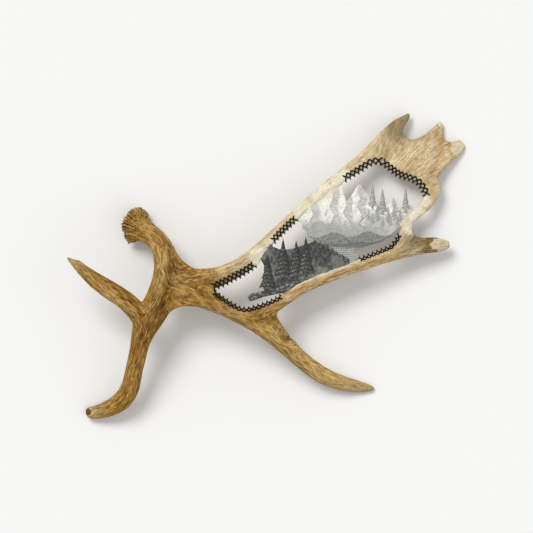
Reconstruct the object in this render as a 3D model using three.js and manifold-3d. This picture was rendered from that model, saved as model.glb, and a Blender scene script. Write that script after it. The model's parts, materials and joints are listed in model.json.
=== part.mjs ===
// A shed moose antler, its palm carved through as a mountain scene, with laced thread round the windows.
// It lies on its tips. X runs from the brow tines to the palm and Z is up from the floor.
// All sizes are in millimetres.
import * as THREE from "three";
import { mergeVertices } from "three/addons/utils/BufferGeometryUtils.js";
import Module from "manifold-3d";

const wasm = await Module();
wasm.setup();

// ---- Driving dimensions ----
const crestHeight = 88; // middle of the beam above the floor
const palmRoot = new THREE.Vector2(-106, -46); // where the palm leaves the beam
const palmAngle = THREE.MathUtils.degToRad(31); // the palm's long axis, turned from +X
const palmLength = 577; // from its root to its furthest point
const palmFall = 23; // even slope of the palm, root to point
const palmDroop = 61.5; // extra drop that bends the points down to the floor
const palmCrown = 0.0006; // how fast the palm falls away on both sides of its crest, per mm
const crestOffset = -20; // the palm's crest lies on this side of its axis
const palmThickness = 11;
const sceneThickness = 7.5;
const ridgeThickness = 8.5;
const forestThickness = 10;
const shoreThickness = 11;
const hubThickness = 31;
const forkThickness = 20;
const burrCentre = new THREE.Vector3(-263.5, 82.5, 30);
const burrFacing = new THREE.Vector3(-0.74, 0.38, -0.56); // from the beam out through the cast face
const burrLobes = 14;
const forkGap = 0.3; // left between pieces that part at a fork
const threadCover = 2.2; // how far the lacing stands off the bone
const lacingWidth = 12.5; // from the window's edge to the row of holes
const insideWindow = 3;
const room = 700; // larger than the antler
const limbSides = 12;
const rimSides = 9;
const rimSteps = 13;
const browSteps = 32;
const upperTineSteps = 14;
const bezSteps = 20;
const edgeSteps = 100; // points round the opening's edge
const boneColour = 0xb98f5a;
const paleBoneColour = 0xcfb88c;
const threadColour = 0x15130f;

// ---- Solids ----

// A closed three.js geometry as a solid that can be joined and cut.
function solid(geometry) {
  const bare = geometry.index ? geometry.toNonIndexed() : geometry;
  bare.deleteAttribute("normal");
  bare.deleteAttribute("uv");
  const merged = mergeVertices(bare, 1e-3);
  return new wasm.Manifold(
    new wasm.Mesh({
      numProp: 3,
      vertProperties: merged.attributes.position.array,
      triVerts: new Uint32Array(merged.index.array),
    }),
  );
}

// A solid as a named three.js mesh.
function piece(name, manifold, material) {
  const { vertProperties, triVerts, numProp } = manifold.getMesh();
  const positions = new THREE.InterleavedBuffer(vertProperties, numProp);
  const geometry = new THREE.BufferGeometry();
  geometry.setAttribute("position", new THREE.InterleavedBufferAttribute(positions, 3, 0));
  geometry.setIndex(new THREE.BufferAttribute(triVerts, 1));
  const plain = geometry.toNonIndexed();
  plain.computeVertexNormals();
  const mesh = new THREE.Mesh(plain, material);
  mesh.name = name;
  return mesh;
}

// Height of the antler's middle surface: level over the beam, falling along the palm and to its sides.
function lift(x, y) {
  const away = new THREE.Vector2(x, y).sub(palmRoot).rotateAround(new THREE.Vector2(), -palmAngle);
  const reach = THREE.MathUtils.clamp(away.x / palmLength, 0, 1);
  const side = palmCrown * (away.y - crestOffset) ** 2 * Math.min(1, 2 * reach);
  return crestHeight - palmFall * reach - palmDroop * reach ** 3 - side;
}

// A tapering limb through stations [x, y, z, width, depth], with an oval section swollen by grow.
function limb(stations, steps, grow, sides = limbSides) {
  const line = new THREE.CatmullRomCurve3(stations.map(([x, y, z]) => new THREE.Vector3(x, y, z)));
  const girth = new THREE.CatmullRomCurve3(stations.map(([, , , w, d]) => new THREE.Vector3(w, d, 0)));
  const tube = new THREE.CylinderGeometry(1, 1, 1, sides, steps);
  const spots = tube.attributes.position;
  const up = new THREE.Vector3(0, 0, 1);
  for (let i = 0; i < spots.count; i++) {
    const ring = new THREE.Vector3().fromBufferAttribute(spots, i);
    const t = THREE.MathUtils.clamp(ring.y + 0.5, 0, 1);
    const ahead = line.getTangent(t);
    const across = new THREE.Vector3().crossVectors(up, ahead).normalize();
    const down = new THREE.Vector3().crossVectors(across, ahead);
    const size = girth.getPoint(t).addScalar(2 * grow);
    const spot = line.getPoint(t);
    spot.addScaledVector(across, (ring.x * size.x) / 2);
    spot.addScaledVector(down, (ring.z * size.y) / 2);
    spots.setXYZ(i, spot.x, spot.y, spot.z);
  }
  return solid(tube);
}

// A limb that follows the middle surface, through stations [x, y, width, depth].
const rimLimb = (stations, grow) =>
  limb(
    stations.map(([x, y, w, d]) => [x, y, lift(x, y), w, d]),
    rimSteps,
    grow,
    rimSides,
  );

// A plate of even thickness that follows the middle surface.
function plate(shape, thickness, curveSegments = 2) {
  const flat = new THREE.ExtrudeGeometry(shape, { depth: thickness, bevelEnabled: false, curveSegments });
  const spots = flat.attributes.position;
  for (let i = 0; i < spots.count; i++) {
    spots.setZ(i, spots.getZ(i) - thickness / 2 + lift(spots.getX(i), spots.getY(i)));
  }
  return solid(flat);
}

// A straight-sided block of that outline, through the whole height.
function column(shape, curveSegments = 2) {
  const block = new THREE.ExtrudeGeometry(shape, { depth: 2 * room, bevelEnabled: false, curveSegments });
  return solid(block.translate(0, 0, -room));
}

// A closed outline of smooth stretches that meet in corners. Each stretch is a list of [x, y].
function outline(...stretches) {
  const shape = new THREE.Shape();
  const points = stretches.map((stretch) => stretch.map(([x, y]) => new THREE.Vector2(x, y)));
  shape.moveTo(points[0][0].x, points[0][0].y);
  shape.splineThru(points[0].slice(1));
  for (const stretch of points.slice(1)) {
    shape.splineThru(stretch);
  }
  return shape;
}

// A closed outline of straight sides.
const polygon = (points) => new THREE.Shape(points.map(([x, y]) => new THREE.Vector2(x, y)));

const join = (solids) => solids.reduce((all, next) => all.add(next));

// ---- The beam, its burr and the tines ----

// From the burr over the crest and down the lower brow tine, which is one sweep of bone.
function beamAndLowerBrowTine(grow) {
  return limb(
    [
      [-263, 82, 30, 46, 44],
      [-250, 75, 40, 45, 44],
      [-236, 66, 52, 42, 42],
      [-218, 52, 67, 41, 42],
      [-204, 28, 80, 45, 44],
      [-196, -4, 89, 54, 46],
      [-199, -38, 90, 60, 44],
      [-212, -70, 91, 60, 40],
      [-229, -99, 91, 58, 38],
      [-242, -125, 88, 50, 36],
      [-250, -152, 83, 38, 34],
      [-256, -180, 76, 36, 33],
      [-263, -212, 64, 35, 32],
      [-270, -242, 50, 38, 31],
      [-286, -268, 36, 39, 30],
      [-314, -284, 24, 34, 28],
      [-340, -291, 13.5, 27, 25],
      [-354, -292, 10.5, 23, 22],
      [-359, -293, 10, 12, 12],
    ],
    browSteps,
    grow,
  );
}

function upperBrowTine(grow) {
  return limb(
    [
      [-238, -126, 88, 34, 34],
      [-253, -95, 94, 39, 34],
      [-276, -70, 101, 38, 32],
      [-308, -48, 107, 36, 30],
      [-338, -28, 112, 31, 26],
      [-364, -7, 116, 23, 20],
      [-383, 9, 118, 12, 11],
      [-394, 17, 119, 4, 4],
    ],
    upperTineSteps,
    grow,
  );
}

// The main beam, the lower edge of the first window and the long bez tine.
function mainBeamAndBezTine(grow) {
  return limb(
    [
      [-202, -36, 88, 50, 40],
      [-172, -42, 89, 74, 42],
      [-138, -46, 88, 74, 38],
      [-106, -67, 86, 46, 36],
      [-68, -90, 84, 33, 34],
      [-28, -110, 81, 33, 33],
      [8, -132, 75, 36, 32],
      [40, -158, 65, 35, 31],
      [70, -186, 52, 34, 30],
      [104, -211, 36, 34, 29],
      [142, -229, 21, 32, 26],
      [176, -238, 11, 26, 21],
      [202, -243, 6.5, 17, 14],
      [216, -244, 5, 7, 6],
    ],
    bezSteps,
    grow,
  );
}

// The flared crown round the foot of the beam, with the rounded face that was joined to the skull.
function burr() {
  const profile = [
    [0, -16],
    [22, -16],
    [27, -7],
    [36, 0],
    [37, 3],
    [34, 6],
    [20, 7],
    [13, 11],
    [0, 12],
  ].map(([r, y]) => new THREE.Vector2(r, y));
  const crown = new THREE.LatheGeometry(profile, 2 * burrLobes);
  const spots = crown.attributes.position;
  const lobeDepth = 0.04;
  for (let i = 0; i < spots.count; i++) {
    const x = spots.getX(i);
    const z = spots.getZ(i);
    const swell = 1 + lobeDepth * Math.cos(burrLobes * Math.atan2(z, x));
    spots.setX(i, x * swell);
    spots.setZ(i, z * swell);
  }
  const turn = new THREE.Quaternion().setFromUnitVectors(
    new THREE.Vector3(0, 1, 0),
    burrFacing.clone().normalize(),
  );
  crown.applyQuaternion(turn);
  crown.translate(burrCentre.x, burrCentre.y, burrCentre.z);
  return solid(crown);
}

// Flat bone that fills the wide crotches where the beam and the brow stem part.
function hubWeb(grow) {
  return plate(
    outline(
      [[-212, 34], [-188, 34], [-170, 14], [-156, 3], [-138, -6], [-104, -7]],
      [[-104, -84]],
      [[-124, -81], [-152, -78], [-170, -80], [-184, -86], [-197, -97], [-210, -116], [-234, -154]],
      [[-260, -124], [-254, -104], [-238, -78], [-222, -44], [-217, -8], [-212, 34]],
    ),
    hubThickness + 2 * grow,
  );
}

function forkWeb(grow) {
  return plate(
    outline(
      [
        [22, -64], [44, -54], [50, -68], [36, -76], [26, -84], [22, -94], [25, -104], [32, -115],
        [40, -126],
      ],
      [[46, -138], [16, -134], [-22, -114], [-52, -98]],
      [[-40, -84], [-18, -80], [4, -73], [22, -64]],
    ),
    forkThickness + 2 * grow,
  );
}

// ---- The palm ----

const upperEdge = [
  [-132, -5], [-112, -5], [-92, -1], [-72, 6], [-52, 18], [-32, 33], [8, 69], [48, 106],
  [88, 142], [128, 176], [168, 208], [208, 245], [248, 286], [266, 296], [286, 306],
];
const firstBay = [[286, 295], [272, 274], [274, 261], [294, 252], [320, 264], [348, 289]];
const secondBay = [[355, 281], [353, 265], [359, 252], [373, 248], [386, 254]];
const outerEdge = [
  [398, 241], [394, 232], [376, 216], [353, 194], [342, 175], [347, 156], [342, 136],
  [324, 114], [301, 96], [289, 76], [298, 60], [322, 54],
];
const lowerEdge = [
  [318, 40], [268, 29], [208, 12], [148, -10], [88, -34], [48, -52], [22, -94], [-8, -112],
  [-62, -92], [-132, -70], [-132, -5],
];

// The upper band of the palm runs into its first point.
const upperBand = [
  [-118, -28, 42, 30],
  [-84, -18, 35, 24],
  [-52, -1, 29, 20],
  [-24, 24, 23, 17],
  [16, 60, 22, 15],
  [56, 97, 22, 15],
  [96, 133, 22, 14],
  [136, 167, 22, 14],
  [176, 199, 22, 13],
  [216, 237, 22, 13],
  [250, 273, 19, 12],
  [268, 288, 13, 9],
  [281, 300, 5, 6],
];

// The lower band of the palm runs into the tine at its far corner.
const lowerBand = [
  [0, -92, 30, 24],
  [40, -63, 24, 22],
  [68, -45, 23, 21],
  [108, -28, 23, 21],
  [148, -12, 23, 21],
  [188, 2, 23, 21],
  [228, 16, 24, 21],
  [268, 28, 27, 21],
  [304, 39, 33, 21],
  [336, 42, 31, 20],
  [354, 42, 24, 17],
  [365, 44, 13, 10],
];

// The edge that the windows leave round the carving, anticlockwise from the corner next to the beam.
const openingUnder = [
  [-106, -46], [-76, -68], [-46, -83], [-18, -78], [22, -62], [48, -43], [68, -30], [108, -14],
  [168, 8], [208, 24], [248, 40],
];
const openingRight = [
  [262, 60], [276, 92], [302, 120], [314, 134], [312, 148], [298, 166], [262, 180], [228, 205],
];
const openingTop = [
  [210, 202], [188, 188], [150, 164], [104, 126], [60, 90], [16, 46], [-16, 4], [-42, -16],
  [-68, -30], [-88, -40], [-106, -46],
];
const openingOutline = outline(openingUnder, openingRight, openingTop);
const openingEdge = openingOutline.getSpacedPoints(edgeSteps).slice(0, -1);

// Where the opening's edge faces: out of the window, into the bone.
const intoBone = openingEdge.map((spot, i) => {
  const ahead = openingEdge[(i + 1) % openingEdge.length].clone().sub(openingEdge.at(i - 1));
  return new THREE.Vector2(ahead.y, -ahead.x).normalize();
});

// Everything inside the opening, when the bone round it is swollen by grow.
const insideOpening = (grow) =>
  column(new THREE.Shape(openingEdge.map((spot, i) => spot.clone().addScaledVector(intoBone[i], -grow))));

// The palm's blade and its two bands, before it is cut open.
function palmBlade(grow) {
  return join([
    plate(outline(upperEdge, firstBay, secondBay, outerEdge, lowerEdge), palmThickness + 2 * grow),
    rimLimb(upperBand, grow),
    rimLimb(lowerBand, grow),
  ]);
}

// ---- The whole bone, before it is cut open ----

const wholeBone = (grow) =>
  join([
    beamAndLowerBrowTine(grow),
    upperBrowTine(grow),
    mainBeamAndBezTine(grow),
    hubWeb(grow),
    forkWeb(grow),
    palmBlade(grow),
  ]);

// ---- The carved scene: spruces on a rising shore, a lake below and snow peaks behind ----

// Snow peaks that join the upper band, the outer edge and the lower band.
const mountains = polygon([
  [60, 100], [74, 78], [98, 44], [92, -26], [130, -10], [176, 6], [186, 20], [174, 32],
  [200, 40], [226, 48], [248, 60], [264, 76], [300, 92], [330, 118], [322, 140], [304, 126],
  [290, 119], [276, 127], [264, 113], [254, 136], [240, 120], [227, 118], [218, 126], [208, 134],
  [196, 152], [186, 168], [174, 148], [162, 130], [155, 146], [150, 176], [104, 140],
]);

// A wooded ridge in front of them, whose near end stands over the first window.
const ridge = polygon([
  [-2, -52], [-8, -36], [-3, -18], [-4, 2], [-12, 16], [10, 50], [14, 38], [34, 32], [56, 36], [78, 42],
  [100, 52], [116, 40], [112, -20], [90, -32], [44, -54],
]);

// A rocky shore that runs out over the first window.
const shore = outline(
  [[98, -30], [66, -28], [20, -42], [-10, -50], [-30, -54]],
  [[-37, -62], [-30, -69], [-8, -62], [22, -55], [40, -50], [60, -38], [98, -30]],
);

// Spruces as [x, foot, top, half width].
const spruces = [
  [3, -54, 22, 17],
  [34, -30, 56, 17],
  [60, -26, 52, 16],
  [79, -20, 60, 16],
];
const slimSpruces = [
  [212, 116, 166, 8],
  [232, 104, 156, 9],
  [278, 108, 158, 8],
];
const boughTiers = 4;

// A spruce from the side: tiers of drooping boughs that widen down to a short trunk.
function spruceShape([x, foot, top, halfWidth]) {
  const crownFoot = foot + 0.14 * (top - foot);
  const tierHeight = (top - crownFoot) / boughTiers;
  const trunk = 0.18 * halfWidth;
  const side = [];
  for (let tier = 1; tier <= boughTiers; tier++) {
    const reach = (halfWidth * tier) / boughTiers;
    const tipHeight = top - tier * tierHeight;
    side.push([reach, tipHeight]);
    side.push([tier < boughTiers ? 0.62 * reach : trunk, tipHeight + 0.25 * tierHeight]);
  }
  side.push([trunk, foot]);
  const right = side.map(([reach, height]) => [x + reach, height]);
  const left = side.map(([reach, height]) => [x - reach, height]).reverse();
  return polygon([[x, top], ...right, ...left]);
}

function carvedScene() {
  const forest = [...spruces, ...slimSpruces].map((tree) => plate(spruceShape(tree), forestThickness));
  const hills = [plate(mountains, sceneThickness), plate(ridge, ridgeThickness)];
  return join([...hills, plate(shore, shoreThickness), ...forest]);
}

// ---- The lacing: thread bound over the windows' edges ----

// Each run as the share of the opening's edge where it starts and ends.
const lacingRuns = {
  lacing_left_window_lower: [0.01, 0.14],
  lacing_lake_window: [0.31, 0.4],
  lacing_sky_window_outer: [0.49, 0.59],
  lacing_sky_window_upper: [0.6, 0.67],
  lacing_middle_window: [0.79, 0.85],
  lacing_left_window_upper: [0.91, 1],
};

// A strip along part of the opening's edge, from just inside the window to the row of holes.
function edgeStrip([from, to]) {
  const count = openingEdge.length;
  const inner = [];
  const outer = [];
  for (let i = Math.round(from * count); i <= Math.round(to * count); i++) {
    const spot = openingEdge[i % count];
    const outward = intoBone[i % count];
    inner.unshift(spot.clone().addScaledVector(outward, -insideWindow));
    outer.push(spot.clone().addScaledVector(outward, lacingWidth));
  }
  return new THREE.Shape([...outer, ...inner]);
}

// ---- Assembly ----

// A block whose near face crosses the antler at a fork. It reaches ahead along the heading from there.
function forkBlock([x, y], headingDegrees, [length, leftWidth, rightWidth], back = 0) {
  const block = new THREE.BoxGeometry(length + back, leftWidth + rightWidth, 2 * room);
  block.translate((length - back) / 2, (leftWidth - rightWidth) / 2, 0);
  block.rotateZ(THREE.MathUtils.degToRad(headingDegrees));
  block.translate(x, y, 0);
  return solid(block);
}

// Where the branches part from the bone behind them: place, heading and size of the block that holds each.
const forks = {
  upper_brow_tine: { at: [-272, -80], heading: 146, block: [180, 40, 40] },
  lower_brow_tine: { at: [-250, -152], heading: 254, block: [200, 60, 160] },
  bez_tine: { at: [46, -164], heading: 316, block: [300, 120, 80] },
  palm_tine: { at: [300, 36], heading: 2, block: [100, 22, 40] },
  carved_palm: { at: [-124, -40], heading: 0, block: [room, room, room] },
};

const floorBlock = solid(new THREE.BoxGeometry(2 * room, 2 * room, room).translate(0, 0, room / 2));
const bone = new THREE.MeshStandardMaterial({ color: boneColour, roughness: 0.7, metalness: 0 });
const paleBone = new THREE.MeshStandardMaterial({ color: paleBoneColour, roughness: 0.7, metalness: 0 });
const thread = new THREE.MeshStandardMaterial({ color: threadColour, roughness: 0.6, metalness: 0 });

const antler = new THREE.Group();
let rest = wholeBone(0).subtract(insideOpening(0)).add(carvedScene()).add(burr()).intersect(floorBlock);

for (const [name, { at, heading, block }] of Object.entries(forks)) {
  const material = name === "carved_palm" ? paleBone : bone;
  antler.add(piece(name, rest.intersect(forkBlock(at, heading, block)), material));
  rest = rest.subtract(forkBlock(at, heading, block, forkGap));
}
antler.add(piece("burr_and_beam", rest, bone));

const bareBone = wholeBone(forkGap).subtract(insideOpening(forkGap));
const wrappedBone = wholeBone(threadCover).subtract(insideOpening(threadCover));
for (const [name, run] of Object.entries(lacingRuns)) {
  const cover = wrappedBone.intersect(column(edgeStrip(run))).subtract(bareBone);
  antler.add(piece(name, cover, thread));
}

export default antler;
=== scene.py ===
import math
import random
import json
from contextlib import contextmanager
import bpy
import bmesh
import numpy as np
from mathutils import Matrix, Vector, noise
from mathutils.bvhtree import BVHTree

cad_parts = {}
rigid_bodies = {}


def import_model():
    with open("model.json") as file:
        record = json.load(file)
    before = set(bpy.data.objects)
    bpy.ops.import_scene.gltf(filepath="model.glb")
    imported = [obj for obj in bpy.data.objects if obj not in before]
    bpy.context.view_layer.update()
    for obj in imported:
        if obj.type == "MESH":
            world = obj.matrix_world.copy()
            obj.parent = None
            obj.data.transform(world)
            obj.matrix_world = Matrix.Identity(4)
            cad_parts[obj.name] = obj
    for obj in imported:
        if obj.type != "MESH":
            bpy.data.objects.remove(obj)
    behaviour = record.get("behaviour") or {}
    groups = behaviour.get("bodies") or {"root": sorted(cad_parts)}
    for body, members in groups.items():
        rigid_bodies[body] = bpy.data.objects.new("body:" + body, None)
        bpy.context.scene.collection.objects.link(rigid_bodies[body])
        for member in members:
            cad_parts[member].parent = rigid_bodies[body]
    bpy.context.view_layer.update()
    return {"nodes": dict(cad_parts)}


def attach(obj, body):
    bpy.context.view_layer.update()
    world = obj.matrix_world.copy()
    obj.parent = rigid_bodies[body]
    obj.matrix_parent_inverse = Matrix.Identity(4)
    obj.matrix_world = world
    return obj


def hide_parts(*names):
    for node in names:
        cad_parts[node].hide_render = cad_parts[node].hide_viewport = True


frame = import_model()
mm = 0.001


def makeActive(piece):
    bpy.ops.object.select_all(action="DESELECT")
    piece.select_set(True)
    bpy.context.view_layer.objects.active = piece


def applyModifier(piece, kind, **settings):
    modifier = piece.modifiers.new(kind.title(), kind)
    for key, value in settings.items():
        setattr(modifier, key, value)
    makeActive(piece)
    bpy.ops.object.modifier_apply(modifier=modifier.name)


def readArray(items, key, width):
    out = np.empty(len(items) * width)
    items.foreach_get(key, out)
    return out.reshape(-1, width) if width > 1 else out


def spotsOf(mesh):
    return readArray(mesh.vertices, "co", 3) / mm


def moveTo(mesh, spots):
    mesh.vertices.foreach_set("co", (spots * mm).ravel())
    mesh.update()


def normalsOf(mesh):
    return readArray(mesh.vertex_normals, "vector", 3)


def unit(rows):
    return rows / np.linalg.norm(rows, axis=-1, keepdims=True)


def ease(low, high, value):
    t = np.clip((value - low) / (high - low), 0, 1)
    return t * t * (3 - 2 * t)


def bell(value):
    return np.exp(-(value**2))


# a quarter round that rises from 0 to 1
def roundOver(value):
    return np.sqrt(np.clip(1 - (1 - np.clip(value, 0, 1)) ** 2, 0, 1))


def joined(pieces):
    bpy.ops.object.select_all(action="DESELECT")
    for piece in pieces:
        piece.select_set(True)
    bpy.context.view_layer.objects.active = pieces[0]
    bpy.ops.object.join()
    return pieces[0]


def newPiece(name, mesh):
    piece = bpy.data.objects.new(name, mesh)
    bpy.context.collection.objects.link(piece)
    return piece


def smoothPiece(name, spots, faces):
    mesh = bpy.data.meshes.new(name)
    mesh.from_pydata((spots * mm).tolist(), [], faces)
    mesh.polygons.foreach_set("use_smooth", [True] * len(mesh.polygons))
    return newPiece(name, mesh)


def treeOf(mesh):
    return BVHTree.FromPolygons([tuple(p) for p in spotsOf(mesh)], [tuple(f.vertices) for f in mesh.polygons])


@contextmanager
def editing():
    bpy.ops.object.mode_set(mode="EDIT")
    yield
    bpy.ops.object.mode_set(mode="OBJECT")


def mix(a, b, share):
    return a + (b - a) * share


# smooth random value, about -1 to 1, that changes over lengths of scale (three numbers, mm)
def wander(spots, scale, seed, detail=1):
    out = np.zeros(len(spots))
    for octave in range(detail):
        at = spots / np.array(scale) * 2**octave + seed * 17.3 + octave * 5.1
        out += np.array([noise.noise(p) for p in at.tolist()]) / 2**octave
    return out


def pairsOf(mesh):
    return readArray(mesh.edges, "vertices", 2).astype(int)


# averages a value, or a place, with its neighbours along the mesh's edges
def soften(values, pairs, rounds, share=0.5):
    count = len(values)
    a, b = pairs[:, 0], pairs[:, 1]
    near = np.bincount(a, minlength=count) + np.bincount(b, minlength=count)
    columns = values.reshape(count, -1).copy()
    pull = np.broadcast_to(share, count)
    for turn in range(rounds):
        for c in range(columns.shape[1]):
            col = columns[:, c]
            total = np.bincount(a, col[b], count) + np.bincount(b, col[a], count)
            columns[:, c] = col + pull * (total / near - col)
    return columns.reshape(values.shape)


# a Catmull-Rom curve through the points, sampled at even spacing
def smoothCurve(points, spacing):
    pts = np.array(points, float)
    ends = np.vstack([2 * pts[0] - pts[1], pts, 2 * pts[-1] - pts[-2]])
    rows = []
    for i in range(len(pts) - 1):
        p0, p1, p2, p3 = ends[i : i + 4]
        for t in np.linspace(0, 1, 24, endpoint=False):
            rows.append(
                0.5 * (2 * p1 + (p2 - p0) * t + (2 * p0 - 5 * p1 + 4 * p2 - p3) * t**2
                       + (3 * p1 - p0 - 3 * p2 + p3) * t**3)
            )
    rows.append(pts[-1])
    rows = np.array(rows)
    run = np.concatenate([[0], np.cumsum(np.linalg.norm(np.diff(rows, axis=0), axis=1))])
    even = np.linspace(0, run[-1], max(2, int(run[-1] / spacing) + 1))
    return np.column_stack([np.interp(even, run, rows[:, c]) for c in range(rows.shape[1])])


# distance in plan from each spot to a polyline, how far along it (0 to 1) the nearest place is, and its side
def strokeDistance(spots, points):
    line = np.array(points, float)
    best = np.full(len(spots), 1e9)
    along = np.zeros(len(spots))
    side = np.zeros(len(spots))
    steps = np.linalg.norm(np.diff(line, axis=0), axis=1)
    run = 0
    for start, end, length in zip(line[:-1], line[1:], steps):
        way = (end - start) / length
        rel = spots[:, :2] - start
        t = np.clip(rel @ way, 0, length)
        off = rel - t[:, None] * way
        d = np.hypot(*off.T)
        closer = d < best
        best[closer] = d[closer]
        along[closer] = (run + t[closer]) / steps.sum()
        side[closer] = way[0] * rel[closer, 1] - way[1] * rel[closer, 0]
        run += length
    return best, along, np.sign(side)


def gapTo(spots, points):
    return strokeDistance(spots, points)[0]


# carries a sideways direction along a path without twist
def carried(ahead, last):
    rows = np.empty_like(ahead)
    for i, way in enumerate(ahead):
        last = unit(last - way * (last @ way))
        rows[i] = last
    return rows


# the palm's middle surface: level over the beam, falling along the palm and to its sides
palm = {
    "root": (-106, -46),
    "angle": math.radians(31),
    "length": 577,
    "crest": 88,
    "fall": 23,
    "droop": 61.5,
    "crown": 0.0006,
    "crownOffset": -20,
}


def lift(x, y):
    dx, dy = x - palm["root"][0], y - palm["root"][1]
    ahead = dx * math.cos(palm["angle"]) + dy * math.sin(palm["angle"])
    aside = dy * math.cos(palm["angle"]) - dx * math.sin(palm["angle"])
    reach = np.clip(ahead / palm["length"], 0, 1)
    side = palm["crown"] * (aside - palm["crownOffset"]) ** 2 * np.minimum(1, 2 * reach)
    return palm["crest"] - palm["fall"] * reach - palm["droop"] * reach**3 - side


# the edge that the windows leave round the carving, anticlockwise from the corner next to the beam
openingUnder = [
    (-106, -46), (-76, -68), (-46, -83), (-18, -78), (22, -62), (48, -43), (68, -30), (108, -14),
    (168, 8), (208, 24), (248, 40),
]
openingRight = [
    (248, 40), (262, 60), (276, 92), (302, 120), (314, 134), (312, 148), (298, 166), (262, 180), (228, 205),
]
openingTop = [
    (228, 205), (210, 202), (188, 188), (150, 164), (104, 126), (60, 90), (16, 46), (-16, 4), (-42, -16),
    (-68, -30), (-88, -40), (-106, -46),
]
openingEdge = np.vstack([smoothCurve(part, 1)[:-1] for part in (openingUnder, openingRight, openingTop)])
edgeRun = np.concatenate([[0], np.cumsum(np.linalg.norm(np.diff(openingEdge, axis=0), axis=1))])
edgeAhead = np.roll(openingEdge, -2, axis=0) - np.roll(openingEdge, 2, axis=0)
intoBone = unit(np.column_stack([edgeAhead[:, 1], -edgeAhead[:, 0]]))
openingRing = [tuple(p) for p in openingEdge[::3]]

# the bone's own body

bone = {
    "nodes": ["burr_and_beam", "upper_brow_tine", "lower_brow_tine", "bez_tine", "palm_tine", "carved_palm"],
    "voxel": 1.38,
    "swell": 0.35,
    "smoothing": 60,
    "girthSmoothing": 80,
    "tips": [(-394, 17), (-354, -292), (210, -243), (281, 300), (353, 285), (392, 244), (362, 44)],
    "webCorner": {"at": (47, -139), "reach": 15, "above": (66, 74), "move": (-2.6, -3, -17)},
    "grooveDepth": 0.7,
    "groove": (46, 5.2, 5.2),
    "fissure": (20, 3.0, 3.0),
    "streak": (17, 2.3, 2.3),
    "patch": (60, 20, 20),
    "lump": (70, 20, 20),
    "lumpHeight": 1.1,
}


def copyOfNodes(names, label):
    bpy.ops.object.select_all(action="DESELECT")
    for name in names:
        frame["nodes"][name].select_set(True)
    bpy.context.view_layer.objects.active = frame["nodes"][names[0]]
    bpy.ops.object.duplicate()
    bpy.ops.object.parent_clear(type="CLEAR_KEEP_TRANSFORM")
    bpy.ops.object.join()
    piece = bpy.context.view_layer.objects.active
    for key in list(piece.keys()):
        del piece[key]
    piece.name = label
    piece.data.materials.clear()
    with editing():
        bpy.ops.mesh.select_all(action="SELECT")
        bpy.ops.mesh.remove_doubles(threshold=0.001 * mm)
    return piece


# takes the plain scene out of the palm, up to the opening's own edge
def cutOpening(piece):
    spots = openingEdge[::3] + 0.4 * intoBone[::3]
    mesh = bpy.data.meshes.new("opening")
    shape = bmesh.new()
    ring = [shape.verts.new((x * mm, y * mm, -0.1)) for x, y in spots]
    base = shape.faces.new(ring)
    grown = bmesh.ops.extrude_face_region(shape, geom=[base])
    tops = [g for g in grown["geom"] if isinstance(g, bmesh.types.BMVert)]
    bmesh.ops.translate(shape, verts=tops, vec=(0, 0, 0.4))
    bmesh.ops.recalc_face_normals(shape, faces=shape.faces)
    shape.to_mesh(mesh)
    shape.free()
    cutter = newPiece("opening", mesh)
    applyModifier(piece, "BOOLEAN", operation="DIFFERENCE", solver="EXACT", use_self=True, object=cutter)
    bpy.data.objects.remove(cutter)


burr = {
    "centre": (-263.5, 82.5, 30),
    "facing": (-0.74, 0.38, -0.56),
    "teeth": 36,
    "rimRadius": 35.8,
    "toothSize": (2.0, 3.3),
    "pearls": 50,
    "gapDepth": 2.9,
    "seed": 4,
}
burrAxis = -Vector(burr["facing"]).normalized()
burrAcross = burrAxis.orthogonal().normalized()
burrOther = burrAxis.cross(burrAcross)
burrDraw = random.Random(burr["seed"])
toothAngles = [(i + burrDraw.uniform(-0.25, 0.25)) * math.tau / burr["teeth"] for i in range(burr["teeth"])]


# round the burr: distance from its axis, height from the rim towards the beam, and how far between two teeth
def roundBurr(spots):
    off = spots - np.array(burr["centre"])
    ahead, aside = off @ np.array(burrAcross), off @ np.array(burrOther)
    angle = np.arctan2(aside, ahead)
    gap = np.full(len(spots), 9.0)
    for tooth in toothAngles:
        gap = np.minimum(gap, np.abs((angle - tooth + math.pi) % math.tau - math.pi))
    radius, up = np.hypot(ahead, aside), off @ np.array(burrAxis)
    onFlare = ease(30, 16, np.abs(up - 6)) * ease(17, 23, radius) * ease(60, 50, np.linalg.norm(off, axis=1))
    between = ease(0.2, 0.5, gap * burr["teeth"] / math.tau)
    return radius, up, between * onFlare, onFlare


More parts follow.
